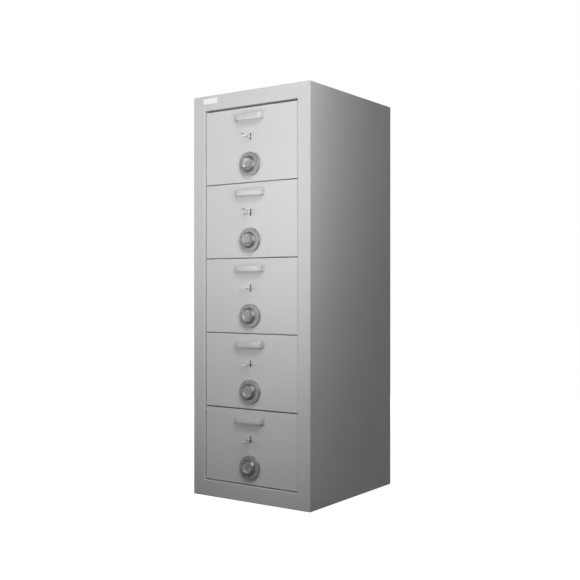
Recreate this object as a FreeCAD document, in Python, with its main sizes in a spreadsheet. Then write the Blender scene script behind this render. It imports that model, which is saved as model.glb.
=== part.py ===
"""Fireproof filing cabinet with five lockable drawers, as separate steel, insulation and lock pieces.

The frame is in millimetres: +Z up, front towards -Y, origin at the centre of the underside.
"""
import FreeCAD, Part
import math
import os
import re
import Sketcher
from FreeCAD import Placement, Rotation, Vector

DRAWERS = 5
FLUTES = 12
DISC_SIDES = 40
PARTS_FOLDER = "parts"

# Driving sizes, in millimetres and degrees. Every piece is tied to these cells.
SIZES = {
    # outer case
    "cabinet_width": 550,
    "cabinet_depth": 600,
    "cabinet_height": 1556,
    "case_sheet": 1.5,
    "case_bend": 3,
    "case_rim": 10,
    "stile_width": 56,
    "top_rail": 58,
    "bottom_rail": 62,
    "rear_insulation": 53.5,
    "casting_relief": 0.5,
    # gaps round the drawer faces
    "face_recess": 8,
    "top_gap": 6,
    "between_gap": 2.4,
    "bottom_gap": 3,
    "side_gap": 2,
    # drawer head
    "face_depth": 22,
    "face_overlap": 12,
    "head_depth": 48,
    "head_gap": 1.5,
    "head_sheet": 1.2,
    # compartment liner and flame seal
    "liner_sheet": 1.2,
    "land_gap": 2,
    "seal_inset": 2,
    "seal_width": 6,
    "seal_play": 0.4,
    # telescopic slides
    "slide_height": 45,
    "slide_depth": 12.5,
    "slide_sheet": 1.5,
    "slide_play": 0.3,
    "slide_rear_gap": 12.8,
    "slide_level": 90,
    "slide_lead": 3,
    "tray_play": 0.5,
    # drawer tray
    "tray_sheet": 1.2,
    "tray_floor_gap": 6.5,
    "tray_head_room": 25,
    "tray_rear_gap": 10,
    "tray_flange": 12,
    "tray_lip": 7,
    # handle
    "handle_length": 124,
    "handle_height": 24,
    "handle_reach": 26,
    "handle_bar": 3,
    "handle_bend": 14,
    "handle_drop": 38,
    # key and key lock
    "key_drop": 112,
    "keyway_height": 27,
    "keyway_width": 5,
    "stem_diameter": 7,
    "stem_play": 0.05,
    "stem_reach": 21,
    "stem_depth": 26,
    "bow_length": 33,
    "bow_width": 26.5,
    "bow_thickness": 3.5,
    "bow_rim": 6,
    "bow_round": 12,
    "bit_height": 24,
    "bit_length": 16,
    "bit_thickness": 2.5,
    "key_case_width": 64,
    "key_case_height": 76,
    "key_case_depth": 34,
    "lock_wall": 2,
    "lock_pocket_play": 0.5,
    # locking bolt and its strike
    "bolt_width": 18,
    "bolt_depth": 8,
    "bolt_throw": 10,
    "bolt_play": 0.5,
    "bolt_nose": 2,
    "bolt_clear_of_bit": 3,
    "strike_width": 24,
    "strike_height": 12,
    "strike_depth": 14,
    "strike_sheet": 1.5,
    # combination dial and its lock
    "dial_rise": 67,
    "collar_diameter": 88,
    "collar_height": 8,
    "dial_gap": 0.5,
    "dial_diameter": 90,
    "dial_thickness": 4,
    "skirt_diameter": 62,
    "skirt_height": 8,
    "skirt_bevel": 7,
    "knob_diameter": 46,
    "knob_height": 6,
    "flute_depth": 2.5,
    "dish_diameter": 28,
    "dish_bevel": 3.2,
    "dish_depth": 3.7,
    "spindle_width": 6,
    "spindle_length": 16,
    "spindle_play": 0.1,
    "dial_case_width": 84,
    "dial_case_height": 64,
    "dial_case_depth": 32,
    # how far each key is turned from upright
    "key_turn_one": 45,
    "key_turn_two": 15,
    "key_turn_three": 90,
    "key_turn_four": 80,
    "key_turn_five": 90,
}
KEY_TURNS = ["key_turn_one", "key_turn_two", "key_turn_three", "key_turn_four", "key_turn_five"]

doc = FreeCAD.newDocument("filing_cabinet")
sizes = doc.addObject("Spreadsheet::Sheet", "sizes")
for row, (alias, number) in enumerate(SIZES.items(), start=1):
    sizes.set(f"A{row}", alias)
    sizes.set(f"B{row}", str(number))
    sizes.setAlias(f"B{row}", alias)
doc.recompute()

# Sizes that follow from the driving ones, written as expressions on the same cells.
HALF_WIDTH = "cabinet_width / 2"
FRONT = "cabinet_depth / 2"
OPENING_HALF = f"({HALF_WIDTH} - stile_width)"
FACE_HALF = f"({OPENING_HALF} - side_gap)"
FACE_HEIGHT = (
    "((cabinet_height - top_rail - bottom_rail - top_gap - bottom_gap"
    f" - {DRAWERS - 1} * between_gap) / {DRAWERS})"
)
FACE_FRONT = f"({FRONT} - face_recess)"
FACE_BACK = f"({FACE_FRONT} - face_depth)"
LAND = f"({FACE_BACK} - land_gap)"
MOUTH_HALF = f"({FACE_HALF} - face_overlap)"
MOUTH_LOW = "face_overlap"
MOUTH_HIGH = f"({FACE_HEIGHT} - face_overlap)"
HEAD_HALF = f"({MOUTH_HALF} - head_gap)"
HEAD_LOW = "(face_overlap + head_gap)"
HEAD_HIGH = f"({MOUTH_HIGH} - head_gap)"
HEAD_BACK = f"({FACE_BACK} - head_depth)"
LINER_BACK = f"(0 - {FRONT} + case_sheet + rear_insulation)"
TRAY_HALF = f"({MOUTH_HALF} - slide_depth - tray_play)"
TRAY_LOW = f"({HEAD_LOW} + tray_floor_gap)"
TRAY_HIGH = f"({HEAD_HIGH} - tray_head_room)"
TRAY_BACK = f"({LINER_BACK} + liner_sheet + tray_rear_gap)"
SLIDE_FRONT = f"({HEAD_BACK} - slide_lead)"
SLIDE_LENGTH = f"({SLIDE_FRONT} - {LINER_BACK} - liner_sheet - slide_rear_gap)"
SLIDE_MIDDLE = "(face_overlap + slide_level)"
KEY_HEIGHT = f"({FACE_HEIGHT} - key_drop)"
DIAL_HEIGHT = "dial_rise"
HANDLE_HEIGHT = f"({FACE_HEIGHT} - handle_drop)"
LOCK_FRONT = f"({FACE_FRONT} - case_sheet)"
KEY_CASE_BACK = f"({LOCK_FRONT} - key_case_depth)"
BOLT_BACK = f"({KEY_CASE_BACK} + lock_wall + bolt_play)"


def drawer_floor(index):
    """Height of a drawer face's bottom edge, counting drawers from the top."""
    below = DRAWERS - 1 - index
    return f"(bottom_rail + bottom_gap + {below} * ({FACE_HEIGHT} + between_gap))"


def tied(text):
    """The expression with each size's name pointing at its cell."""
    return re.sub(r"[a-z]+(?:_[a-z]+)+", lambda word: "sizes." + word.group(0), str(text))


def value(text):
    """What an expression is worth now."""
    return float(sizes.evalExpression(str(text)))


def plane(body, role):
    return next(f for f in body.Origin.OriginFeatures if f.Role == role)


def new_body(label, height="0"):
    body = doc.addObject("PartDesign::Body", label)
    body.Label = label
    body.setExpression("Placement.Base.z", tied(height))
    return body


def sketch(body, role, offset, *loops):
    """A tied sketch. A list of points is a straight-sided loop, and a tuple is a circle's centre and radius."""
    drawing = body.newObject("Sketcher::SketchObject", body.Name + "_sketch")
    drawing.AttachmentSupport = [(plane(body, role), "")]
    drawing.MapMode = "FlatFace"
    drawing.setExpression("AttachmentOffset.Base.z", tied(offset))
    for loop in loops:
        if isinstance(loop, tuple):
            draw_circle(drawing, *loop)
        else:
            draw_outline(drawing, loop)
    return drawing


def draw_outline(drawing, points):
    places = [Vector(value(x), value(y), 0) for x, y in points]
    first = drawing.GeometryCount
    count = len(points)
    for i in range(count):
        drawing.addGeometry(Part.LineSegment(places[i], places[(i + 1) % count]))
    for i in range(count):
        drawing.addConstraint(Sketcher.Constraint("Coincident", first + i, 2, first + (i + 1) % count, 1))
    for i, (x, y) in enumerate(points):
        tie(drawing, Sketcher.Constraint("DistanceX", -1, 1, first + i, 1, places[i].x), x)
        tie(drawing, Sketcher.Constraint("DistanceY", -1, 1, first + i, 1, places[i].y), y)


def draw_circle(drawing, x, y, radius):
    number = drawing.addGeometry(Part.Circle(Vector(value(x), value(y), 0), Vector(0, 0, 1), value(radius)))
    tie(drawing, Sketcher.Constraint("DistanceX", -1, 1, number, 3, value(x)), x)
    tie(drawing, Sketcher.Constraint("DistanceY", -1, 1, number, 3, value(y)), y)
    tie(drawing, Sketcher.Constraint("Radius", number, value(radius)), radius)


def tie(drawing, constraint, text):
    number = drawing.addConstraint(constraint)
    drawing.setExpression(f"Constraints[{number}]", tied(text))


def rectangle(left, low, right, high):
    return [(left, low), (right, low), (right, high), (left, high)]


def pad(body, drawing, length, backwards=False):
    feature = body.newObject("PartDesign::Pad", body.Name + "_pad")
    feature.Profile = drawing
    feature.setExpression("Length", tied(length))
    feature.Reversed = backwards
    doc.recompute()
    return feature


def pocket(body, drawing, length, backwards=False):
    feature = body.newObject("PartDesign::Pocket", body.Name + "_pocket")
    feature.Profile = drawing
    feature.setExpression("Length", tied(length))
    feature.Reversed = backwards
    doc.recompute()
    return feature


def slab(body, left, low, right, high, front, back):
    """A block from the front plane to the back plane, both given as distances towards the front."""
    drawing = sketch(body, "XZ_Plane", front, rectangle(left, low, right, high))
    return pad(body, drawing, f"({front}) - ({back})", backwards=True)


def slot(body, left, low, right, high, front, back):
    """The same block, cut away."""
    drawing = sketch(body, "XZ_Plane", front, rectangle(left, low, right, high))
    return pocket(body, drawing, f"({front}) - ({back})")


def edge_names(shape, wanted):
    return [f"Edge{i}" for i, edge in enumerate(shape.Edges, start=1) if wanted(edge)]


def near(a, b):
    return abs(a - b) < 1e-4


def along(edge, axis):
    """Whether an edge is straight and runs along X, Y or Z."""
    if edge.Curve.TypeId != "Part::GeomLine":
        return False
    return near(abs(edge.Curve.Direction[axis]), 1)


def middle(edge):
    box = edge.BoundBox
    return box.Center


def round_edges(body, base, radius, wanted, kind="Fillet"):
    names = edge_names(base.Shape, wanted)
    feature = body.newObject("PartDesign::" + kind, body.Name + "_" + kind.lower())
    feature.Base = (base, names)
    feature.setExpression("Radius" if kind == "Fillet" else "Size", tied(radius))
    doc.recompute()
    return feature


def block(name, left, front, low, width, depth, height):
    """A box primitive by its lowest corner and its three lengths."""
    solid = doc.addObject("Part::Box", name)
    for key, text in (("Length", width), ("Width", depth), ("Height", height)):
        solid.setExpression(key, tied(text))
    for key, text in (("x", left), ("y", front), ("z", low)):
        solid.setExpression("Placement.Base." + key, tied(text))
    return solid


def cut(name, base, *tools):
    result = base
    for tool in tools:
        feature = doc.addObject("Part::Cut", name)
        feature.Base, feature.Tool = result, tool
        result = feature
    result.Label = name
    return result


def group(label, members):
    compound = doc.addObject("Part::Compound", label)
    compound.Links = members
    compound.Label = label
    return compound


def at_front(edge):
    return near(middle(edge).y, -value(FRONT))


# Face frame: a pan with one tall opening, whose edge is turned back to meet the liners.
def face_frame():
    body = new_body("face_frame")
    high = "cabinet_height"
    back = f"({FRONT} - case_rim)"
    pan = slab(body, f"-{HALF_WIDTH}", "0", HALF_WIDTH, high, FRONT, back)
    corners = round_edges(body, pan, "case_bend", lambda e: along(e, 1) or at_front(e))
    inside = (f"-{HALF_WIDTH} + case_sheet", "case_sheet", f"{HALF_WIDTH} - case_sheet", f"{high} - case_sheet")
    slot(body, *inside, f"{FRONT} - case_sheet", back)
    rail_low = "(bottom_rail - case_sheet)"
    rail_high = f"({high} - top_rail + case_sheet)"
    sleeve = (f"-{OPENING_HALF} - case_sheet", rail_low, f"{OPENING_HALF} + case_sheet", rail_high)
    slab(body, *sleeve, f"{FRONT} - case_sheet", f"{LAND} - liner_sheet")
    opening = (f"-{OPENING_HALF}", "bottom_rail", OPENING_HALF, f"{high} - top_rail")
    hollow = slot(body, *opening, FRONT, f"{LAND} - liner_sheet")
    reach = value(OPENING_HALF) + 1

    def opening_edge(edge):
        place = middle(edge)
        inner = abs(place.x) < reach and value("bottom_rail") - 1 < place.z < value(f"{high} - top_rail") + 1
        return at_front(edge) and inner

    round_edges(body, hollow, "case_bend", opening_edge)
    return body


# Wrap: the two sides and the back, bent from one sheet.
def outer_wrap():
    body = new_body("outer_wrap", "case_rim")
    front = f"-{FRONT} + case_rim"
    inner = f"({HALF_WIDTH} - case_sheet)"
    rear = f"({FRONT} - case_sheet)"
    outline = [
        (f"-{HALF_WIDTH}", front), (f"-{HALF_WIDTH}", FRONT), (HALF_WIDTH, FRONT), (HALF_WIDTH, front),
        (inner, front), (inner, rear), (f"-{inner}", rear), (f"-{inner}", front),
    ]
    drawing = sketch(body, "XY_Plane", "0", outline)
    wrap = pad(body, drawing, "cabinet_height - 2 * case_rim")
    outside = round_edges(body, wrap, "case_bend", lambda e: along(e, 2) and near(middle(e).y, value(FRONT)))
    round_edges(body, outside, "case_bend - case_sheet", lambda e: along(e, 2) and near(middle(e).y, value(rear)))
    return body


# Top and base pans: flat sheets whose edges turn down, or up, to meet the wrap.
def end_pan(label, level, outer_face, hollow_low):
    body = new_body(label, level)
    front = f"({FRONT} - case_rim)"
    pan = slab(body, f"-{HALF_WIDTH}", "0", HALF_WIDTH, "case_rim", front, f"-{FRONT}")

    def bent(edge):
        place = middle(edge)
        if along(edge, 2):
            return near(place.y, value(FRONT))
        return near(place.z, value(outer_face)) and not near(place.y, -value(front))

    round_edges(body, pan, "case_bend", bent)
    hollow_high = f"({hollow_low}) + case_rim - case_sheet"
    inner = f"({HALF_WIDTH} - case_sheet)"
    slot(body, f"-{inner}", hollow_low, inner, hollow_high, front, f"-{FRONT} + case_sheet")
    return body


# Insulation jacket: one casting round five compartments.
def insulation_jacket():
    body = new_body("insulation_jacket")
    wide = f"({HALF_WIDTH} - case_sheet)"
    deep = f"({FRONT} - case_sheet)"
    casting = slab(body, f"-{wide}", "case_sheet", wide, "cabinet_height - case_sheet", deep, f"-{deep}")
    round_edges(body, casting, "case_bend - case_sheet + casting_relief", lambda e: True, "Chamfer")
    recess_wide = f"({OPENING_HALF} + case_sheet)"
    recess_high = "cabinet_height - top_rail + case_sheet"
    slot(body, f"-{recess_wide}", "bottom_rail - case_sheet", recess_wide, recess_high, FRONT,
         f"{LAND} - liner_sheet")
    half = f"({MOUTH_HALF} + liner_sheet)"
    cavities, notches = [], []
    for index in range(DRAWERS):
        floor = drawer_floor(index)
        low = f"{floor} + {MOUTH_LOW} - liner_sheet"
        high = f"{floor} + {MOUTH_HIGH} + liner_sheet"
        cavities.append(rectangle(f"-{half}", low, half, high))
        roof = f"{floor} + {MOUTH_HIGH}"
        notches.append(rectangle("-strike_width / 2", roof, "strike_width / 2", f"{roof} + strike_height"))
    pocket(body, sketch(body, "XZ_Plane", LAND, *cavities), f"{LAND} - {LINER_BACK}")
    pocket(body, sketch(body, "XZ_Plane", LAND, *notches), "strike_depth")
    return body


# Compartment liners: sheet boxes with a front flange that faces the partitions.
def liner(index):
    floor = drawer_floor(index)
    land = f"-{LAND}"
    low = "bottom_gap" if index == DRAWERS - 1 else "between_gap / 2"
    high = "top_gap" if index == 0 else "between_gap / 2"
    flange = block("liner_flange", f"-{OPENING_HALF}", land, f"{floor} - {low}",
                   f"2 * {OPENING_HALF}", "liner_sheet", f"{FACE_HEIGHT} + {low} + {high}")
    half = f"({MOUTH_HALF} + liner_sheet)"
    mouth = f"({MOUTH_HIGH} - {MOUTH_LOW})"
    shell = block("liner_shell", f"-{half}", land, f"{floor} + {MOUTH_LOW} - liner_sheet",
                  f"2 * {half}", f"{LAND} - {LINER_BACK}", f"{mouth} + 2 * liner_sheet")
    joined = doc.addObject("Part::Fuse", "liner_body")
    joined.Base, joined.Tool = flange, shell
    hollow = block("liner_hollow", f"-{MOUTH_HALF}", land, f"{floor} + {MOUTH_LOW}",
                   f"2 * {MOUTH_HALF}", f"{LAND} - {LINER_BACK} - liner_sheet", mouth)
    notch = block("liner_notch", "-strike_width / 2", land, f"{floor} + {MOUTH_HIGH}",
                  "strike_width", "strike_depth", "strike_height")
    return cut(f"liner_{index + 1}", joined, hollow, notch)


# Strike: a steel lining of the notch that the locking bolt rises into.
def strike(index):
    roof = f"{drawer_floor(index)} + {MOUTH_HIGH}"
    shell = block("strike_shell", "-strike_width / 2", f"-{LAND}", roof,
                  "strike_width", "strike_depth", "strike_height")
    hollow = block("strike_hollow", "-strike_width / 2 + strike_sheet", f"-{LAND}", roof,
                   "strike_width - 2 * strike_sheet", "strike_depth - strike_sheet",
                   "strike_height - strike_sheet")
    return cut(f"strike_{index + 1}", shell, hollow)


# Flame seal: an intumescent strip round each mouth, broken where the bolt passes.
def seal(index):
    floor = drawer_floor(index)
    thick = "(land_gap - seal_play)"
    front = f"-{LAND} - {thick}"
    inner = f"({MOUTH_HALF} + seal_inset)"
    outer = f"({inner} + seal_width)"
    low = f"({floor} + {MOUTH_LOW} - seal_inset)"
    tall = f"({MOUTH_HIGH} - {MOUTH_LOW} + 2 * seal_inset)"
    strip = block("seal_strip", f"-{outer}", front, f"{low} - seal_width",
                  f"2 * {outer}", thick, f"{tall} + 2 * seal_width")
    middle_part = block("seal_hollow", f"-{inner}", front, low, f"2 * {inner}", thick, tall)
    passage = block("seal_passage", "-strike_width / 2", front, f"{low} + {tall}",
                    "strike_width", thick, "seal_width")
    return cut(f"seal_{index + 1}", strip, middle_part, passage)


# Slide members: three nested channels on each side of a drawer.
def channel(wall, tip, half_height):
    """Sketch loops of the left and right channels, from wall side to tip side."""
    inner = f"({half_height} - slide_sheet)"
    web = f"{wall} + (slide_sheet) * ({tip} > {wall} ? 1 : -1)"
    right = [
        (wall, f"-{half_height}"), (tip, f"-{half_height}"), (tip, f"-{inner}"), (web, f"-{inner}"),
        (web, inner), (tip, inner), (tip, half_height), (wall, half_height),
    ]
    left = [(f"-({x})", z) for x, z in right]
    return right, left


OUTER_HALF = "(slide_height / 2)"
MIDDLE_HALF = f"({OUTER_HALF} - slide_sheet - slide_play)"
INNER_HALF = f"({MIDDLE_HALF} - slide_sheet - slide_play)"
OUTER_WALL = MOUTH_HALF
OUTER_TIP = f"({MOUTH_HALF} - slide_depth)"
MIDDLE_WALL = f"({OUTER_WALL} - slide_sheet - slide_play)"
MIDDLE_TIP = f"({OUTER_TIP} + slide_play)"
INNER_WALL = TRAY_HALF
INNER_TIP = f"({MIDDLE_WALL} - slide_sheet - slide_play)"


def member(label, height, wall, tip, half_height):
    """Both sides' channels as two bodies in one group."""
    pair = []
    for side, loop in zip(("right", "left"), channel(wall, tip, half_height)):
        body = new_body(f"{label}_{side}", height)
        drawing = sketch(body, "XZ_Plane", SLIDE_FRONT, loop)
        pad(body, drawing, SLIDE_LENGTH, backwards=True)
        pair.append(body)
    return pair


def keyway():
    """The upright slit for the bits, widened in the middle for the stem."""
    side, middle_side = "keyway_width / 2", "(stem_diameter / 2 + stem_play)"
    low, high = f"{KEY_HEIGHT} - keyway_height / 2", f"{KEY_HEIGHT} + keyway_height / 2"
    step_low, step_high = f"{KEY_HEIGHT} - {middle_side}", f"{KEY_HEIGHT} + {middle_side}"
    right = [(side, low), (side, step_low), (middle_side, step_low),
             (middle_side, step_high), (side, step_high), (side, high)]
    return right + [(f"-({x})", z) for x, z in reversed(right)]


SPINDLE_CLEARANCE = f"spindle_width * {math.sqrt(0.5):.6f} + spindle_play"


def spindle_hole():
    """The hole that the spindle's corners clear as it turns."""
    half = f"({SPINDLE_CLEARANCE})"
    return rectangle(f"-{half}", f"{DIAL_HEIGHT} - {half}", half, f"{DIAL_HEIGHT} + {half}")


# Drawer face: a steel pan with a keyway and a spindle hole.
def drawer_face(number, floor):
    body = new_body(f"drawer_{number}_face", floor)
    pan = slab(body, f"-{FACE_HALF}", "0", FACE_HALF, FACE_HEIGHT, FACE_FRONT, FACE_BACK)

    round_edges(body, pan, "case_bend", lambda e: near(middle(e).y, -value(FACE_FRONT)))
    half = f"({FACE_HALF} - case_sheet)"
    slot(body, f"-{half}", "case_sheet", half, f"{FACE_HEIGHT} - case_sheet", LOCK_FRONT, FACE_BACK)
    pocket(body, sketch(body, "XZ_Plane", FACE_FRONT, keyway(), spindle_hole()), "case_sheet")
    return body


# Drawer box: insulated head pan, tray with hanging rails and the drawer members, welded together.
def drawer_box(number, floor):
    body = new_body(f"drawer_{number}_box", floor)
    half = f"({FACE_HALF} - case_sheet)"
    flange_front = f"({FACE_BACK} + head_sheet)"
    slab(body, f"-{half}", "case_sheet", half, f"{FACE_HEIGHT} - case_sheet", flange_front, FACE_BACK)
    slab(body, f"-{HEAD_HALF}", HEAD_LOW, HEAD_HALF, HEAD_HIGH, flange_front, HEAD_BACK)
    inner = f"({HEAD_HALF} - head_sheet)"
    slot(body, f"-{inner}", f"{HEAD_LOW} + head_sheet", inner, f"{HEAD_HIGH} - head_sheet",
         flange_front, f"{HEAD_BACK} + head_sheet")
    passage = ("-bolt_width / 2 - bolt_play", f"{HEAD_HIGH} - 2 * head_sheet",
               "bolt_width / 2 + bolt_play", f"{HEAD_HIGH} + head_sheet")
    slot(body, *passage, f"{BOLT_BACK} + bolt_depth + bolt_play", f"{BOLT_BACK} - bolt_play")
    wall = TRAY_HALF
    inside = f"({wall} - tray_sheet)"
    edge = f"({wall} - tray_flange)"
    lip = f"({edge} + tray_sheet)"
    low, high = TRAY_LOW, TRAY_HIGH
    right = [
        (wall, low), (wall, high), (edge, high), (edge, f"{high} - tray_lip"), (lip, f"{high} - tray_lip"),
        (lip, f"{high} - tray_sheet"), (inside, f"{high} - tray_sheet"), (inside, f"{low} + tray_sheet"),
    ]
    section = right + [(f"-({x})", z) for x, z in reversed(right)]
    pad(body, sketch(body, "XZ_Plane", HEAD_BACK, section), f"{HEAD_BACK} - {TRAY_BACK}", backwards=True)
    slab(body, f"-{wall}", low, wall, high, f"{TRAY_BACK} + tray_sheet", TRAY_BACK)
    pad(body, sketch(body, "XZ_Plane", SLIDE_FRONT, *members_at(SLIDE_MIDDLE)), SLIDE_LENGTH, backwards=True)
    return body


def members_at(level):
    """The drawer members' outlines at their height on the tray."""
    loops = channel(INNER_WALL, INNER_TIP, INNER_HALF)
    return [[(x, f"{level} + ({z})") for x, z in loop] for loop in loops]


# Head insulation: a stepped block cast round the two locks.
def drawer_insulation(number, floor):
    body = new_body(f"drawer_{number}_insulation", floor)
    half = f"({FACE_HALF} - case_sheet)"
    flange_front = f"({FACE_BACK} + head_sheet)"
    slab(body, f"-{half}", "case_sheet", half, f"{FACE_HEIGHT} - case_sheet", LOCK_FRONT, flange_front)
    inner = f"({HEAD_HALF} - head_sheet)"
    slab(body, f"-{inner}", f"{HEAD_LOW} + head_sheet", inner, f"{HEAD_HIGH} - head_sheet",
         flange_front, f"{HEAD_BACK} + head_sheet")
    for name, centre in (("key", KEY_HEIGHT), ("dial", DIAL_HEIGHT)):
        wide = f"({name}_case_width / 2 + lock_pocket_play)"
        tall = f"({name}_case_height / 2 + lock_pocket_play)"
        slot(body, f"-{wide}", f"{centre} - {tall}", wide, f"{centre} + {tall}",
             LOCK_FRONT, f"{LOCK_FRONT} - {name}_case_depth - lock_pocket_play")
    slot(body, "-bolt_width / 2 - bolt_play", KEY_HEIGHT, "bolt_width / 2 + bolt_play", HEAD_HIGH,
         f"{BOLT_BACK} + bolt_depth + bolt_play", f"{BOLT_BACK} - bolt_play")
    return body


# Lock cases: closed steel boxes behind the face, with bores for the key's stem and the dial's spindle.
def lock_case(label, floor, name, centre, hole):
    body = new_body(label, floor)
    wide, tall = f"({name}_case_width / 2)", f"({name}_case_height / 2)"
    back = f"({LOCK_FRONT} - {name}_case_depth)"
    slab(body, f"-{wide}", f"{centre} - {tall}", wide, f"{centre} + {tall}", LOCK_FRONT, back)
    slot(body, f"-{wide} + lock_wall", f"{centre} - {tall} + lock_wall", f"{wide} - lock_wall",
         f"{centre} + {tall} - lock_wall", f"{LOCK_FRONT} - lock_wall", f"{back} + lock_wall")
    pocket(body, sketch(body, "XZ_Plane", LOCK_FRONT, hole), "lock_wall")
    return body


def locks(number, floor):
    key_case = lock_case(f"key_case_{number}", floor, "key", KEY_HEIGHT, keyway())
    roof = f"{KEY_HEIGHT} + key_case_height / 2"
    slot(key_case, "-bolt_width / 2 - bolt_play", f"{roof} - 2 * lock_wall", "bolt_width / 2 + bolt_play",
         f"{roof} + lock_wall", f"{BOLT_BACK} + bolt_depth + bolt_play", f"{BOLT_BACK} - bolt_play")
    dial_case = lock_case(f"dial_case_{number}", floor, "dial", DIAL_HEIGHT, spindle_hole())
    return group(f"locks_{number}", [key_case, dial_case])


# Locking bolt: a flat bar that rises through the top of the head, by the key's turn.
def bolt(number, floor, turn):
    rise = f"bolt_throw * (1 - {turn} / 90)"
    body = new_body(f"bolt_{number}", f"{floor} + {rise}")
    low = f"({KEY_HEIGHT} + bit_height / 2 + bolt_clear_of_bit)"
    bar = slab(body, "-bolt_width / 2", low, "bolt_width / 2", f"{HEAD_HIGH} - bolt_play",
               f"{BOLT_BACK} + bolt_depth", BOLT_BACK)
    top = value(f"{HEAD_HIGH} - bolt_play")
    round_edges(body, bar, "bolt_nose", lambda e: along(e, 1) and near(middle(e).z, top), "Chamfer")
    return body


# Handle: a flat bar bent into a bow, welded to the face.
def handle(number, floor):
    body = new_body(f"handle_{number}", floor)
    half, inside = "(handle_length / 2)", "(handle_length / 2 - handle_bar)"
    face, bar = f"-{FACE_FRONT}", f"(-{FACE_FRONT} - handle_reach)"
    bow = [
        (f"-{half}", face), (f"-{half}", bar), (half, bar), (half, face),
        (inside, face), (inside, f"{bar} + handle_bar"), (f"-{inside}", f"{bar} + handle_bar"), (f"-{inside}", face),
    ]
    drawing = sketch(body, "XY_Plane", f"{HANDLE_HEIGHT} - handle_height / 2", bow)
    strip = pad(body, drawing, "handle_height")
    front = value(bar)
    outside = round_edges(body, strip, "handle_bend", lambda e: along(e, 2) and near(middle(e).y, front))
    front_inside = value(f"{bar} + handle_bar")
    round_edges(body, outside, "handle_bend - handle_bar",
                lambda e: along(e, 2) and near(middle(e).y, front_inside))
    return body


# Key: oval bow with an open loop, round stem and two bits.
def key(number, floor, turn):
    body = new_body(f"key_{number}", f"{floor} + {KEY_HEIGHT}")
    body.Placement = Placement(Vector(0, 0, 0), Rotation(Vector(0, -1, 0), value(turn)))
    body.setExpression("Placement.Base.z", tied(f"{floor} + {KEY_HEIGHT}"))
    body.setExpression("Placement.Rotation.Angle", tied(turn))
    root = f"({FACE_FRONT} + stem_reach)"
    tip = f"({root} + bow_length)"
    half = "(bow_width / 2)"
    oval = rectangle(f"-{tip}", f"-{half}", f"-{root}", half)
    plate = pad(body, sketch(body, "YZ_Plane", "-bow_thickness / 2", oval), "bow_thickness")
    round_edges(body, plate, "bow_round", lambda e: along(e, 0))
    loop = rectangle(f"-{tip} + bow_rim", f"-{half} + bow_rim", f"-{root} - bow_rim", f"{half} - bow_rim")
    hole = pocket(body, sketch(body, "YZ_Plane", "bow_thickness", loop), "2 * bow_thickness")
    outer = value("bow_width / 2 - bow_rim") + 1e-3
    round_edges(body, hole, "bow_round - bow_rim", lambda e: along(e, 0) and abs(middle(e).z) < outer, "Chamfer")
    stem = sketch(body, "XZ_Plane", f"{root}", ("0", "0", "stem_diameter / 2"))
    pad(body, stem, "stem_reach + stem_depth", backwards=True)
    bit_back = f"(-{FACE_FRONT} + stem_depth)"
    bits = rectangle(f"{bit_back} - bit_length", "-bit_height / 2", bit_back, "bit_height / 2")
    pad(body, sketch(body, "YZ_Plane", "-bit_thickness / 2", bits), "bit_thickness")
    return body


# Dial ring: the fixed collar that carries the dial in front of the face.
# Like the dial it has forty fine flats, because five dials of true circles would make too many facets.
def dial_ring(number, floor):
    body = new_body(f"dial_ring_{number}", f"{floor} + {DIAL_HEIGHT}")
    half = f"({SPINDLE_CLEARANCE})"
    hole = rectangle(f"-{half}", f"-{half}", half, half)
    collar = sketch(body, "XZ_Plane", FACE_FRONT, corners("collar_diameter", DISC_SIDES), hole)
    pad(body, collar, "collar_height")
    return body


# Dial: disc, skirted and fluted knob with a dished front, and the square spindle that enters the lock case.
def dial(number, floor):
    body = new_body(f"dial_{number}", f"{floor} + {DIAL_HEIGHT}")
    back = f"({FACE_FRONT} + collar_height + dial_gap)"
    front = f"({back} + dial_thickness)"
    grip = f"({front} + skirt_height)"
    tip = f"({grip} + knob_height)"
    pad(body, sketch(body, "XZ_Plane", back, corners("dial_diameter", DISC_SIDES)), "dial_thickness")
    skirt = pad(body, sketch(body, "XZ_Plane", front, corners("skirt_diameter", 2 * FLUTES)), "skirt_height")
    round_edges(body, skirt, "skirt_bevel", lambda e: near(middle(e).y, -value(grip)), "Chamfer")
    pad(body, sketch(body, "XZ_Plane", grip, corners("knob_diameter", 2 * FLUTES, "flute_depth")), "knob_height")
    dish = pocket(body, sketch(body, "XZ_Plane", tip, corners("dish_diameter", 2 * FLUTES)), "dish_depth")
    mouth = value("dish_diameter / 2") + 1e-3
    round_edges(body, dish, "dish_bevel",
                lambda e: near(middle(e).y, -value(tip)) and math.hypot(middle(e).x, middle(e).z) < mouth, "Chamfer")
    half = "(spindle_width / 2)"
    slab(body, f"-{half}", f"-{half}", half, half, back, f"{LOCK_FRONT} - spindle_length")
    return body


def corners(diameter, count, valley="0"):
    """A many-sided outline with corners on the diameter, every second one set in by the valley's depth."""
    points = []
    for i in range(count):
        angle = math.radians(360 / count * i)
        radius = f"({diameter} / 2)" if i % 2 == 0 else f"({diameter} / 2 - {valley})"
        points.append((f"{radius} * {math.cos(angle):.6f}", f"{radius} * {math.sin(angle):.6f}"))
    return points


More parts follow.
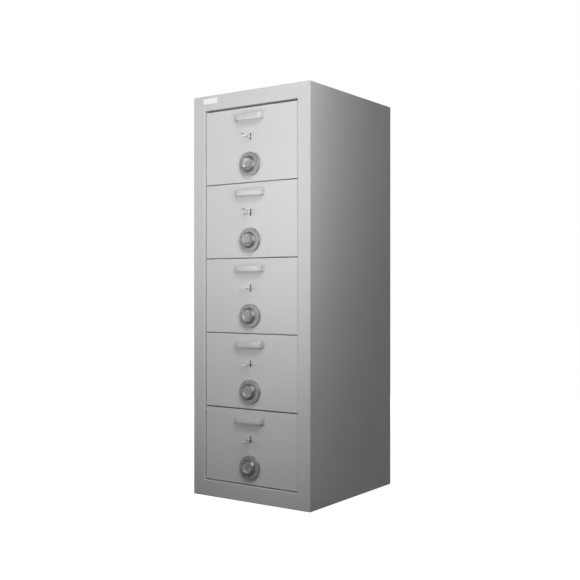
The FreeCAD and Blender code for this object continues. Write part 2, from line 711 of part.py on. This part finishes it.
def build():
    nodes = [
        face_frame(),
        outer_wrap(),
        end_pan("top_pan", "cabinet_height - case_rim", "case_rim", "0"),
        end_pan("base_pan", "0", "0", "case_sheet"),
        insulation_jacket(),
        group("compartment_liners", [liner(i) for i in range(DRAWERS)]),
        group("strike_plates", [strike(i) for i in range(DRAWERS)]),
        group("flame_seals", [seal(i) for i in range(DRAWERS)]),
    ]
    rails = []
    for index in range(DRAWERS):
        height = f"{drawer_floor(index)} + {SLIDE_MIDDLE}"
        rails += member(f"cabinet_rail_{index + 1}", height, OUTER_WALL, OUTER_TIP, OUTER_HALF)
    nodes.append(group("cabinet_rails", rails))
    for index in range(DRAWERS):
        number, floor, turn = index + 1, drawer_floor(index), KEY_TURNS[index]
        height = f"{floor} + {SLIDE_MIDDLE}"
        middles = member(f"slide_{number}", height, MIDDLE_WALL, MIDDLE_TIP, MIDDLE_HALF)
        nodes += [
            drawer_face(number, floor),
            drawer_insulation(number, floor),
            drawer_box(number, floor),
            group(f"slide_middles_{number}", middles),
            handle(number, floor),
            locks(number, floor),
            bolt(number, floor, turn),
            key(number, floor, turn),
            dial_ring(number, floor),
            dial(number, floor),
        ]
    doc.recompute()
    return nodes


def check(nodes):
    """Stop if anything failed to compute, before a file is written."""
    for item in doc.Objects:
        if "Invalid" in item.State or "Error" in item.State:
            raise RuntimeError(f"{item.Label} failed: {item.State}")
    for node in nodes:
        if node.Shape.isNull() or not node.Shape.isValid():
            raise RuntimeError(f"{node.Label} has no valid shape")


nodes = build()
check(nodes)
os.makedirs(PARTS_FOLDER, exist_ok=True)
for node in nodes:
    node.Shape.exportStep(os.path.join(PARTS_FOLDER, node.Label + ".step"))
    print(node.Label, len(node.Shape.Solids), "solids, volume", round(node.Shape.Volume))
print(len(nodes), "nodes")
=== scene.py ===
"""Looks of the five-drawer insulated filing cabinet: paint, castings, zinc, dials, keys, handles and light."""
import bpy
import bmesh
import math
from mathutils import Matrix, Vector


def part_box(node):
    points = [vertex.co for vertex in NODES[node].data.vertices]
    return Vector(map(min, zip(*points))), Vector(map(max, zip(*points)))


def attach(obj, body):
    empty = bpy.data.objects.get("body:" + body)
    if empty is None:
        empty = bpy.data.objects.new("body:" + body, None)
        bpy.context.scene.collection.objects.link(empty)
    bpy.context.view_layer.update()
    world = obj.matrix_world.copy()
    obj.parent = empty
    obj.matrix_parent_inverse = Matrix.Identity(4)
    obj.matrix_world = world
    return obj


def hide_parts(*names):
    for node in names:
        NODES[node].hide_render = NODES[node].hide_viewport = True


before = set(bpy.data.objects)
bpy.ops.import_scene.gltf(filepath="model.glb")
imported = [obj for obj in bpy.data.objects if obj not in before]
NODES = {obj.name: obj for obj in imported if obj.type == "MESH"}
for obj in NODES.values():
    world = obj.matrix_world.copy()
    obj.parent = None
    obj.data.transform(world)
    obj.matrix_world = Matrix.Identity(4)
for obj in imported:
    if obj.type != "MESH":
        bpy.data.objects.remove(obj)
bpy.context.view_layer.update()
DRAWERS = range(1, 6)


# ---------------------------------------------------------------- node helpers
class Graph:
    """The node tree of a material or a world, built from short calls."""

    def __init__(self, name, kind="materials", coords="Object"):
        self.owner = getattr(bpy.data, kind).new(name)
        self.owner.use_nodes = True
        self.tree = self.owner.node_tree
        self.coords = self.tree.nodes.new("ShaderNodeTexCoord").outputs[coords]

    def new(self, kind, **settings):
        node = self.tree.nodes.new(kind)
        for key, setting in settings.items():
            setattr(node, key, setting)
        return node

    def link(self, source, target):
        self.tree.links.new(source, target)

    def put(self, socket, content):
        """Link an output into a socket, or set the socket's own number."""
        if isinstance(content, bpy.types.NodeSocket):
            self.link(content, socket)
        else:
            socket.default_value = content

    def scaled(self, vector, scale):
        node = self.new("ShaderNodeMapping")
        self.link(vector, node.inputs["Vector"])
        node.inputs["Scale"].default_value = scale
        return node.outputs["Vector"]

    def noise(self, scale, detail=3.0, rough=0.5, vector=None):
        node = self.new("ShaderNodeTexNoise")
        self.link(vector or self.coords, node.inputs["Vector"])
        node.inputs["Scale"].default_value = scale
        node.inputs["Detail"].default_value = detail
        node.inputs["Roughness"].default_value = rough
        return node.outputs["Fac"]

    def cells(self, scale, vector=None, output="Distance", feature="F1"):
        node = self.new("ShaderNodeTexVoronoi", feature=feature)
        self.link(vector or self.coords, node.inputs["Vector"])
        node.inputs["Scale"].default_value = scale
        return node.outputs[output]

    def span(self, source, low, high, to_low=0.0, to_high=1.0):
        node = self.new("ShaderNodeMapRange")
        for key, content in (("Value", source), ("From Min", low), ("From Max", high),
                             ("To Min", to_low), ("To Max", to_high)):
            self.put(node.inputs[key], content)
        return node.outputs["Result"]

    def math(self, operation, a, b=0.0):
        node = self.new("ShaderNodeMath", operation=operation)
        self.put(node.inputs[0], a)
        self.put(node.inputs[1], b)
        return node.outputs[0]

    def mix(self, factor, a, b, blend="MIX"):
        node = self.new("ShaderNodeMix", data_type="RGBA", blend_type=blend)
        self.put(node.inputs["Factor"], factor)
        self.put(node.inputs[6], a)
        self.put(node.inputs[7], b)
        return node.outputs[2]

    def bump(self, height, strength, distance, normal=None):
        node = self.new("ShaderNodeBump")
        self.link(height, node.inputs["Height"])
        node.inputs["Strength"].default_value = strength
        node.inputs["Distance"].default_value = distance
        if normal:
            self.link(normal, node.inputs["Normal"])
        return node.outputs["Normal"]

    def finish(self, colour, roughness, normal=None, **inputs):
        shader = self.tree.nodes["Principled BSDF"]
        self.put(shader.inputs["Base Color"], colour)
        self.put(shader.inputs["Roughness"], roughness)
        if normal:
            self.link(normal, shader.inputs["Normal"])
        for key, content in inputs.items():
            shader.inputs[key.replace("_", " ")].default_value = content
        return self.owner


def grey(level, warm=0.0):
    """An almost neutral colour, tinted towards warm."""
    return (level * (1 + warm), level, level * (1 - warm), 1)


# ---------------------------------------------------------------- materials
def enamel(name, level, warm=0.0, roughness=0.36, shine=0.3, gap_shade_above=None):
    """Sprayed cabinet enamel: orange peel, slow shade drift, faint wipe marks and specks. Painted shade, dark and
    patchy, from a height up, standing for the shadow in a narrow gap.
    """
    g = Graph(name)
    drift = g.span(g.noise(2.2, 2), 0.3, 0.7)
    wipe = g.noise(9, 4, 0.6, g.scaled(g.coords, (3.0, 1.0, 0.5)))
    base = g.mix(drift, grey(level * 0.975, warm), grey(level * 1.02, warm))
    dull = g.span(wipe, 0.52, 0.72, 0.0, 0.10)
    base = g.mix(dull, base, grey(level * 0.86, warm))
    speck = g.span(g.cells(170), 0.035, 0.06, 1.0, 0.0)
    rare = g.span(g.noise(24, 1), 0.60, 0.66)
    base = g.mix(g.math("MULTIPLY", g.math("MULTIPLY", speck, rare), 0.25), base, grey(level * 0.55, warm))
    # painted shade: patchy near black above the given height, in place of the shadow inside the gap over the lowest
    # drawer
    if gap_shade_above:
        split = g.new("ShaderNodeSeparateXYZ")
        g.link(g.coords, split.inputs[0])
        above = g.span(split.outputs["Z"], gap_shade_above - 0.0002, gap_shade_above + 0.0002)
        patchy = g.span(g.noise(45, 3), 0.3, 0.7, 0.62, 0.95)
        base = g.mix(g.math("MULTIPLY", above, patchy), base, grey(0.07))
    gloss = g.span(wipe, 0.35, 0.75, roughness - 0.04, roughness + 0.09)
    peel = g.noise(520, 2)
    waves = g.noise(16, 2)
    normal = g.bump(peel, 0.10, 0.0004)
    normal = g.bump(waves, 0.05, 0.004, normal)
    return g.finish(base, gloss, normal, Specular_IOR_Level=shine)


def zinc(name):
    """Zinc-plated rolled steel with small spangles and rolling lines."""
    g = Graph(name)
    spangle = g.cells(260, output="Color")
    level = g.new("ShaderNodeSeparateColor")
    g.link(spangle, level.inputs[0])
    tone = g.span(level.outputs[0], 0.0, 1.0)
    base = g.mix(tone, grey(0.50), (0.60, 0.61, 0.63, 1))
    stain = g.span(g.noise(14, 3), 0.5, 0.8)
    base = g.mix(stain, base, (0.40, 0.40, 0.41, 1))
    gloss = g.span(level.outputs[1], 0.0, 1.0, 0.30, 0.46)
    lines = g.noise(420, 2, 0.5, g.scaled(g.coords, (1.0, 0.04, 1.0)))
    return g.finish(base, gloss, g.bump(lines, 0.12, 0.0002), Metallic=1.0)


def casting(name):
    """Cast lightweight insulation: pale cement with vermiculite flakes and pores."""
    g = Graph(name)
    body = g.mix(g.noise(18, 4), (0.46, 0.44, 0.40, 1), (0.60, 0.58, 0.53, 1))
    flakes = g.span(g.cells(210), 0.22, 0.34, 1.0, 0.0)
    chosen = g.span(g.noise(130, 1), 0.52, 0.56)
    body = g.mix(g.math("MULTIPLY", flakes, chosen), body, (0.42, 0.33, 0.20, 1))
    pores = g.span(g.cells(330), 0.10, 0.24)
    grain = g.math("ADD", g.math("MULTIPLY", pores, 0.7), g.noise(240, 5, 0.7))
    return g.finish(body, 0.92, g.bump(grain, 0.6, 0.0012))


def seal_strip(name):
    """Woven-faced swelling strip, dark and matt."""
    g = Graph(name)
    weave = g.new("ShaderNodeTexWave", wave_type="BANDS", bands_direction="DIAGONAL")
    g.link(g.coords, weave.inputs["Vector"])
    weave.inputs["Scale"].default_value = 260
    weave.inputs["Distortion"].default_value = 1.5
    cloth = weave.outputs["Fac"]
    base = g.mix(cloth, (0.030, 0.028, 0.028, 1), (0.070, 0.064, 0.060, 1))
    return g.finish(base, 0.85, g.bump(cloth, 0.4, 0.0003))


def turned_metal(name, level, warm, roughness, centre=None, metallic=1.0):
    """Satin metal turned about an axis through a centre, or plain brushed where there is none."""
    g = Graph(name)
    place = g.coords
    if centre is not None:
        shift = g.new("ShaderNodeVectorMath", operation="SUBTRACT")
        g.link(g.coords, shift.inputs[0])
        shift.inputs[1].default_value = centre
        flat = g.new("ShaderNodeVectorMath", operation="MULTIPLY")
        g.link(shift.outputs[0], flat.inputs[0])
        flat.inputs[1].default_value = (1, 0, 1)
        size = g.new("ShaderNodeVectorMath", operation="LENGTH")
        g.link(flat.outputs[0], size.inputs[0])
        rings = g.new("ShaderNodeCombineXYZ")
        g.link(size.outputs["Value"], rings.inputs[0])
        lines = g.noise(2600, 2, 0.6, rings.outputs[0])
    else:
        lines = g.noise(900, 2, 0.6, g.scaled(place, (1.0, 0.05, 1.0)))
    tarnish = g.span(g.noise(55, 3), 0.4, 0.75)
    base = g.mix(tarnish, grey(level, warm), grey(level * 0.82, warm))
    gloss = g.span(lines, 0.3, 0.7, roughness - 0.06, roughness + 0.08)
    return g.finish(base, gloss, g.bump(lines, 0.14, 0.00012), Metallic=metallic)


def label_white(name):
    g = Graph(name)
    base = g.mix(g.noise(60, 2), grey(0.74, -0.01), grey(0.78, -0.01))
    return g.finish(base, 0.28, g.bump(g.noise(700, 1), 0.05, 0.0001))


def ink(name, level):
    g = Graph(name)
    base = g.mix(g.noise(900, 2), grey(level), grey(level * 1.6))
    return g.finish(base, 0.55)


PAINT = enamel("case_enamel", 0.515, 0.0, 0.37, 0.2)
DRAWER_PAINT = enamel("drawer_enamel", 0.54)
LOWEST_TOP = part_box("drawer_5_face")[1].z
# the lowest drawer's top flange carries painted shade for the dark gap between drawers 4 and 5
LOWEST_PAINT = enamel("lowest_drawer_enamel", 0.54, gap_shade_above=LOWEST_TOP - 0.0012)
# the handle's enamel is the case paint made glossier; its darker tone is painted shade so the standing-out bar reads
# as dark as the face
HANDLE = enamel("handle_enamel", 0.49, 0.0, 0.22, 0.5)
INNER = enamel("inner_enamel", 0.42, 0.012, 0.42)
ZINC = zinc("zinc_plate")
# blackened steel for the lock cases; its near black is also painted shade, darkening the keyhole slits in front of
# them
BLACKED_AND_SLIT_SHADE = turned_metal("blacked_steel", 0.07, 0.0, 0.42)
CAST = casting("cast_insulation")
SEAL = seal_strip("flame_seal")
KEY_METAL = turned_metal("key_nickel", 0.72, 0.01, 0.30)
LABEL = label_white("label_white")
INK = ink("dial_ink", 0.02)


def dress(material, *names):
    for name in names:
        slots = NODES[name].material_slots
        for slot in slots:
            slot.material = material
        if not slots:
            NODES[name].data.materials.append(material)


dress(PAINT, "face_frame", "outer_wrap", "top_pan", "base_pan")
dress(CAST, "insulation_jacket")
dress(INNER, "compartment_liners")
dress(ZINC, "strike_plates", "cabinet_rails")
dress(SEAL, "flame_seals")
for n in DRAWERS:
    dress(LOWEST_PAINT if n == 5 else DRAWER_PAINT, f"drawer_{n}_face")
    dress(CAST, f"drawer_{n}_insulation")
    dress(INNER, f"drawer_{n}_box")
    # lock cases in near-black steel, partly painted shade for the keyhole slits
    dress(BLACKED_AND_SLIT_SHADE, f"locks_{n}")
    dress(ZINC, f"bolt_{n}", f"slide_middles_{n}")


# ---------------------------------------------------------------- mesh helpers
def solid(name, mesh_work, material, body, angle=35):
    """Turn a bmesh into a finished object that rides on a body."""
    mesh = bpy.data.meshes.new(name)
    bmesh.ops.recalc_face_normals(mesh_work, faces=mesh_work.faces)
    mesh_work.to_mesh(mesh)
    mesh_work.free()
    for polygon in mesh.polygons:
        polygon.use_smooth = True
    mesh.set_sharp_from_angle(angle=math.radians(angle))
    mesh.materials.append(material)
    piece = bpy.data.objects.new(name, mesh)
    bpy.context.scene.collection.objects.link(piece)
    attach(piece, body)
    return piece


def lathe(work, profile, centre, segments=96, wave=None):
    """Spin a profile of (radius, distance out of the face) round the Y axis through a centre."""
    rings = []
    for radius, out in profile:
        ring = []
        for i in range(segments):
            angle = 2 * math.pi * i / segments
            r = radius if wave is None else wave(radius, out, angle)
            ring.append(work.verts.new(centre + Vector((r * math.cos(angle), -out, r * math.sin(angle)))))
        rings.append(ring)
    for a, b in zip(rings, rings[1:]):
        for i in range(segments):
            j = (i + 1) % segments
            work.faces.new((a[i], a[j], b[j], b[i]))
    work.faces.new(rings[0])
    work.faces.new(rings[-1])
    return rings


def sweep(work, path, frames, section):
    """Join copies of a closed section, given in (u, v), along a path with its u and v directions."""
    loops = []
    for place, (u, v) in zip(path, frames):
        loops.append([work.verts.new(place + a * u + b * v) for a, b in section])
    count = len(section)
    for a, b in zip(loops, loops[1:]):
        for i in range(count):
            j = (i + 1) % count
            work.faces.new((a[i], a[j], b[j], b[i]))
    work.faces.new(loops[0])
    work.faces.new(loops[-1])


def rounded(width, height, radius, steps=4):
    """The outline of a rectangle with rounded corners, centred on the origin."""
    points = []
    for cx, cy, start in ((1, 1, 0), (-1, 1, 90), (-1, -1, 180), (1, -1, 270)):
        for k in range(steps + 1):
            angle = math.radians(start + 90 * k / steps)
            points.append((cx * (width / 2 - radius) + radius * math.cos(angle),
                           cy * (height / 2 - radius) + radius * math.sin(angle)))
    return points


def crowned(thickness, height, steps=14):
    """The section of a flat bar with a slightly domed front and soft edges, closed anticlockwise."""
    half = height / 2
    back = [(-thickness / 2, half - 0.0006), (-thickness / 2, -half + 0.0006)]
    front = []
    for k in range(steps + 1):
        v = -half + height * k / steps
        edge = max(abs(v) - half + 0.002, 0.0) / 0.002
        front.append((thickness / 2 - 0.0010 * (v / half) ** 2 - 0.0010 * edge ** 2, v))
    return back + front


def plate(work, outline, place, u, v, normal, thickness, bevel):
    """A thin plate with a chamfered edge from an outline in (u, v), its back at the place."""
    centre_u = sum(p[0] for p in outline) / len(outline)
    centre_v = sum(p[1] for p in outline) / len(outline)
    layers = []
    for inset, lift in ((0.0, 0.0), (0.0, thickness - bevel), (bevel, thickness)):
        layer = []
        for a, b in outline:
            away = Vector((a - centre_u, b - centre_v))
            away = away * (1 - inset / max(away.length, 1e-9))
            layer.append(work.verts.new(place + (centre_u + away.x) * u + (centre_v + away.y) * v + lift * normal))
        layers.append(layer)
    count = len(outline)
    for a, b in zip(layers, layers[1:]):
        for i in range(count):
            j = (i + 1) % count
            work.faces.new((a[i], a[j], b[j], b[i]))
    work.faces.new(layers[0])
    work.faces.new(layers[-1])


def box_centre(node):
    low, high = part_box(node)
    return (low + high) / 2


X, OUT, Z = Vector((1, 0, 0)), Vector((0, -1, 0)), Vector((0, 0, 1))


# ---------------------------------------------------------------- combination dials
FLUTES = 12


def knob_wave(radius, out, angle):
    """Scallops with sharp ridges round the grip of the knob."""
    grip = 0.0206 < out < 0.0264 and radius > 0.0210
    return radius - (0.0023 * abs(math.sin(FLUTES / 2 * angle)) if grip else 0.0)


def numerals(centre, front):
    """Raised figures 0 to 90 round the dial, upright towards its rim, as one mesh."""
    work = bmesh.new()
    for k in range(10):
        curve = bpy.data.curves.new("figure", "FONT")
        curve.body = str(10 * k)
        curve.size = 0.0056
        curve.align_x = "CENTER"
        curve.align_y = "CENTER"
        curve.extrude = 0.00006
        figure = bpy.data.objects.new("figure", curve)
        bpy.context.scene.collection.objects.link(figure)
        mesh = bpy.data.meshes.new_from_object(figure)
        angle = -2 * math.pi * k / 10
        stand = Matrix(((1, 0, 0, 0), (0, 0, -1, 0), (0, 1, 0, 0), (0, 0, 0, 1)))
        turn = Matrix.Rotation(-angle, 4, "Y")
        up = turn @ Vector((0, 0, 0.0348))
        mesh.transform(Matrix.Translation(centre + up + OUT * front) @ turn @ stand)
        work.from_mesh(mesh)
        bpy.data.objects.remove(figure)
        bpy.data.curves.remove(curve)
        bpy.data.meshes.remove(mesh)
    return work


def graduations(work, centre, front):
    """A hundred fine marks round the rim, long, middle and short."""
    for k in range(100):
        angle = 2 * math.pi * k / 100
        inner = 0.0382 if k % 10 == 0 else 0.0394 if k % 5 == 0 else 0.0403
        half = 0.00022 if k % 10 == 0 else 0.00015
        radial = Vector((math.sin(angle), 0, math.cos(angle)))
        side = Vector((math.cos(angle), 0, -math.sin(angle)))
        low = centre + OUT * front + radial * inner
        size = 0.0425 - inner
        corners = [(-half, 0), (half, 0), (half, size), (-half, size)]
        bottom = [work.verts.new(low + a * side + b * radial - OUT * 0.00006) for a, b in corners]
        top = [work.verts.new(low + a * side + b * radial + OUT * 0.00006) for a, b in corners]
        for i in range(4):
            j = (i + 1) % 4
            work.faces.new((bottom[i], bottom[j], top[j], top[i]))
        work.faces.new(top)


def make_dial(n):
    centre = box_centre(f"dial_ring_{n}")
    centre.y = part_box(f"drawer_{n}_face")[0].y
    metal = turned_metal(f"dial_metal_{n}", 0.26, 0.02, 0.36, tuple(centre), 0.1)
    bright = turned_metal(f"dial_bright_{n}", 0.42, 0.0, 0.42, tuple(centre))
    work = bmesh.new()
    lathe(work, [(0.0444, 0.0), (0.0444, 0.0012), (0.0440, 0.0016), (0.0440, 0.0076), (0.0436, 0.008),
                 (0.0300, 0.008)], centre, 128)
    collar = solid(f"dial_collar_{n}", work, bright, f"drawer_{n}")
    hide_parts(f"dial_ring_{n}")

    work = bmesh.new()
    lathe(work, [
        (0.0446, 0.0085), (0.0450, 0.0089), (0.0450, 0.0119), (0.0446, 0.0124), (0.0442, 0.0125),
        (0.0416, 0.0125), (0.0312, 0.0125), (0.0310, 0.0128), (0.0310, 0.0133), (0.0307, 0.0138),
        (0.0243, 0.0202), (0.0240, 0.0205), (0.0232, 0.0205), (0.0229, 0.0209), (0.0229, 0.0252),
        (0.0224, 0.0261), (0.0214, 0.0265), (0.0178, 0.0265), (0.0171, 0.0262), (0.0143, 0.0234),
        (0.0132, 0.0229), (0.0100, 0.0228), (0.0040, 0.0228),
    ], centre, 192, knob_wave)
    disc = solid(f"dial_turning_{n}", work, metal, f"dial_{n}", 28)
    disc.data.materials.append(bright)
    disc.data.materials.append(turned_metal(f"dial_dish_{n}", 0.55, 0.01, 0.25, tuple(centre), 0.8))
    disc.data.materials.append(turned_metal(f"dial_skirt_{n}", 0.165, 0.01, 0.34, tuple(centre), 0.5))
    for face in disc.data.polygons:
        out = centre.y - face.center.y
        radius = math.hypot(face.center.x - centre.x, face.center.z - centre.z)
        if radius > 0.0442:
            face.material_index = 1
        elif 0.0135 < radius < 0.0176 and out > 0.0230:
            face.material_index = 2
        elif 0.0240 < radius < 0.0310 and 0.0136 < out < 0.0204:
            face.material_index = 3
    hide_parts(f"dial_{n}")
    work = numerals(centre, 0.0125)
    graduations(work, centre, 0.0125)
    solid(f"dial_figures_{n}", work, INK, f"dial_{n}")

    work = bmesh.new()
    plate(work, [(-0.0006, 0.0458), (0.0006, 0.0458), (0.0006, 0.0498), (-0.0006, 0.0498)], centre, X, Z, OUT,
          0.0002, 0.0001)
    solid(f"dial_index_{n}", work, INK, f"drawer_{n}")


# ---------------------------------------------------------------- keys
def oval(width, height, count=48, power=2.4):
    """A soft-cornered oval."""
    points = []
    for i in range(count):
        angle = 2 * math.pi * i / count
        c, s = math.cos(angle), math.sin(angle)
        points.append((width / 2 * math.copysign(abs(c) ** (2 / power), c),
                       height / 2 * math.copysign(abs(s) ** (2 / power), s)))
    return points


def make_key(n, degrees):
    """Key with an oval ring bow, a collar and a round stem; it is made upright and then turned."""
    low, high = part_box(f"dial_ring_{n}")
    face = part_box(f"drawer_{n}_face")
    centre = Vector((0, face[0].y, face[1].z - 0.112))
    work = bmesh.new()
    section = rounded(0.0036, 0.0058, 0.0016, 3)
    middle = centre + OUT * (0.021 + 0.0165)
    path, frames = [], []
    steps = 56
    track = oval(0.033 - 0.0058, 0.0265 - 0.0058, steps)
    loops = []
    for i in range(steps):
        a, b = track[i]
        ahead, behind = track[(i + 1) % steps], track[i - 1]
        along = Vector((0, 0, 0)) + OUT * (ahead[0] - behind[0]) + Z * (ahead[1] - behind[1])
        across = along.cross(X).normalized()
        place = middle + OUT * a + Z * b
        loops.append([work.verts.new(place + p * X + q * across) for p, q in section])
    count = len(section)
    for i in range(steps):
        a, b = loops[i], loops[(i + 1) % steps]
        for k in range(count):
            m = (k + 1) % count
            work.faces.new((a[k], a[m], b[m], b[k]))
    lathe(work, [(0.0030, -0.026), (0.0035, -0.0255), (0.0035, 0.0120), (0.0046, 0.0128), (0.0049, 0.0138),
                 (0.0049, 0.0158), (0.0046, 0.0168), (0.0036, 0.0176), (0.0034, 0.0216), (0.0024, 0.0232)],
          centre, 40)
    bits = rounded(0.0155, 0.0236, 0.0006, 2)
    plate(work, bits, centre - OUT * 0.018 - X * 0.0012, OUT, Z, X, 0.0024, 0.0003)
    turn = Matrix.Translation(centre) @ Matrix.Rotation(math.radians(degrees), 4, OUT) @ Matrix.Translation(-centre)
    bmesh.ops.transform(work, matrix=turn, verts=work.verts)
    key = solid(f"key_turned_{n}", work, KEY_METAL, f"key_{n}")
    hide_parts(f"key_{n}")


# ---------------------------------------------------------------- handles
def make_handle(n):
    """Flat bar bent into a bow, with weld fillets where its ends meet the face."""
    low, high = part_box(f"handle_{n}")
    centre = (low + high) / 2
    face = high.y
    half, reach, bend = (high.x - low.x) / 2 - 0.0015, high.y - low.y - 0.0015, 0.0165
    path, frames = [], []

    def add(x, out, direction):
        path.append(Vector((x, face - out, centre.z)))
        across = direction.cross(Z)
        frames.append((across, Z))

    for side in (-1, 1):
        points = []
        for out in (-0.0002, 0.004, reach - bend):
            points.append((side * half, out, OUT if side < 0 else -OUT))
        for k in range(1, 10):
            angle = math.radians(90 * k / 10)
            place = (side * (half - bend * (1 - math.cos(angle))), reach - bend * (1 - math.sin(angle)))
            heading = (OUT * math.cos(angle) + X * math.sin(angle)) if side < 0 else \
                (-OUT * math.cos(angle) + X * math.sin(angle))
            points.append((*place, heading))
        points.append((side * (half - bend), reach, X))
        if side > 0:
            points.reverse()
        for x, out, heading in points:
            add(x, out, heading)
    work = bmesh.new()
    sweep(work, path, frames, crowned(0.003, high.z - low.z))
    for side in (-1, 1):
        for face_side in (-1, 1):
            foot = Vector((side * half + face_side * 0.0015, face, centre.z))
            bead = [(0, 0), (face_side * 0.0022, 0), (face_side * 0.0010, 0.0008), (face_side * 0.0003, 0.0024), (0, 0.0026)]
            rows = []
            for k in range(13):
                along = -0.0115 + 0.023 * k / 12
                swell = 1 + 0.12 * math.sin(k * 2.1 + n)
                rows.append([work.verts.new(foot + X * a * swell + OUT * b * swell + Z * along) for a, b in bead])
            for a, b in zip(rows, rows[1:]):
                for i in range(len(bead)):
                    j = (i + 1) % len(bead)
                    work.faces.new((a[i], a[j], b[j], b[i]))
            work.faces.new(rows[0])
            work.faces.new(rows[-1])
    handle = solid(f"handle_bow_{n}", work, HANDLE, f"drawer_{n}", 40)
    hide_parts(f"handle_{n}")


KEY_TURNS = (45, 15, 90, 80, 90)
for n in DRAWERS:
    make_dial(n)
    make_key(n, KEY_TURNS[n - 1])
    make_handle(n)


# ---------------------------------------------------------------- blank label plate
def make_label():
    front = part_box("face_frame")[0].y
    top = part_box("top_pan")[1].z
    place = Vector((-0.1905, front, top - 0.0215))
    work = bmesh.new()
    plate(work, rounded(0.069, 0.022, 0.0015), place, X, Z, OUT, 0.0006, 0.0003)
    solid("label_rim", work, LABEL, "cabinet")
    work = bmesh.new()
    plate(work, rounded(0.0666, 0.0196, 0.0010), place + OUT * 0.0005, X, Z, OUT, 0.0003, 0.0001)
    solid("label_plate", work, LABEL, "cabinet")


make_label()


# ---------------------------------------------------------------- floor, light and camera
def make_floor():
    """White where the camera sees it, with the object's shadow on it; dim for the light it sends back; in mirrored
    rays it glows as a painted reflection, brighter beside and behind the object than just in front of it.
    """
    mesh = bpy.data.meshes.new("floor")
    size = 30
    mesh.from_pydata([(-size, -size, 0), (size, -size, 0), (size, size, 0), (-size, size, 0)], [], [(0, 1, 2, 3)])
    floor = bpy.data.objects.new("floor", mesh)
    floor.location.z = -0.0002
    bpy.context.scene.collection.objects.link(floor)
    g = Graph("floor_white")
    seen, mirrored = ray_kinds(g)
    bright = g.new("ShaderNodeEmission")
    split = g.new("ShaderNodeSeparateXYZ")
    g.link(g.coords, split.inputs[0])
    # painted reflection: the glow that metal parts mirror from the floor, bright beside and behind the cabinet and
    # dim just in front of it
    beside = g.span(split.outputs["X"], -0.2, -0.7, 0.25, 0.95)
    behind = g.span(split.outputs["Y"], -0.4, 0.1, 0.25, 0.95)
    painted_reflection_glow = g.math("MAXIMUM", beside, behind)
    g.put(bright.inputs["Strength"], g.math("MAXIMUM", g.math("MULTIPLY", seen, 0.97), g.math("MULTIPLY", mirrored, painted_reflection_glow)))
    matt = g.new("ShaderNodeBsdfDiffuse")
    g.link(g.mix(seen, grey(0.10), grey(0.30)), matt.inputs["Color"])
    both = g.new("ShaderNodeAddShader")
    g.link(bright.outputs[0], both.inputs[0])
    g.link(matt.outputs[0], both.inputs[1])
    g.link(both.outputs[0], g.tree.nodes["Material Output"].inputs["Surface"])
    mesh.materials.append(g.owner)


def ray_kinds(g):
    """Two switches: 1 for rays straight from the camera or through glass, and 1 for mirrored rays."""
    path = g.new("ShaderNodeLightPath")
    seen = g.math("MAXIMUM", path.outputs["Is Camera Ray"], path.outputs["Is Transmission Ray"])
    return seen, path.outputs["Is Glossy Ray"]


def make_world(strength):
    """White behind the object, in its own metal too; darker in front of it and above, as in a studio."""
    g = Graph("studio", "worlds", "Generated")
    bpy.context.scene.world = g.owner
    seen, mirrored = ray_kinds(g)
    split = g.new("ShaderNodeSeparateXYZ")
    g.link(g.coords, split.inputs[0])
    behind = g.span(split.outputs["Y"], -0.25, 0.35, 0.12, 1.0)
    overhead = g.span(split.outputs["Z"], 0.35, 0.85, 1.0, 0.25)
    screen = g.math("MULTIPLY", mirrored, g.math("MULTIPLY", behind, overhead))
    level = g.math("MAXIMUM", g.math("MAXIMUM", seen, screen), strength)
    background = g.tree.nodes["Background"]
    background.inputs["Color"].default_value = (1, 1, 1, 1)
    g.link(level, background.inputs["Strength"])


def softbox(name, place, target, width, height, power):
    light = bpy.data.lights.new(name, "AREA")
    light.shape = "RECTANGLE"
    light.size, light.size_y = width, height
    light.energy = power
    lamp = bpy.data.objects.new(name, light)
    lamp.location = place
    lamp.rotation_euler = (Vector(target) - Vector(place)).to_track_quat("-Z", "Y").to_euler()
    lamp.visible_camera = False
    bpy.context.scene.collection.objects.link(lamp)
    return lamp


make_floor()
make_world(0.118)
softbox("high_light", (1.16, -2.30, 3.50), (0.0, -0.3, 0.88), 0.9, 0.9, 28.9)
softbox("front_light", (-0.53, -2.10, 1.00), (3.00, -0.3, 4.50), 1.5, 1.5, 27.6)
softbox("right_light", (1.16, -1.45, 1.49), (-0.97, -2.23, 1.72), 1.5, 1.5, 45.8)
rear = softbox("rear_light", (-1.90, 2.70, 0.95), (-0.1, 0.3, 0.80), 1.6, 1.1, 50.0)
rear.visible_glossy = False

camera_data = bpy.data.cameras.new("camera")
camera_data.sensor_width = 36
camera_data.lens = 57.2
camera = bpy.data.objects.new("camera", camera_data)
camera.location = (2.109, -3.061, 0.801)
camera.rotation_euler = Vector((-0.571, 0.820, 0.0)).to_track_quat("-Z", "Y").to_euler()
bpy.context.scene.collection.objects.link(camera)
bpy.context.scene.camera = camera
bpy.context.scene.view_settings.view_transform = "Standard"

bpy.context.view_layer.update()
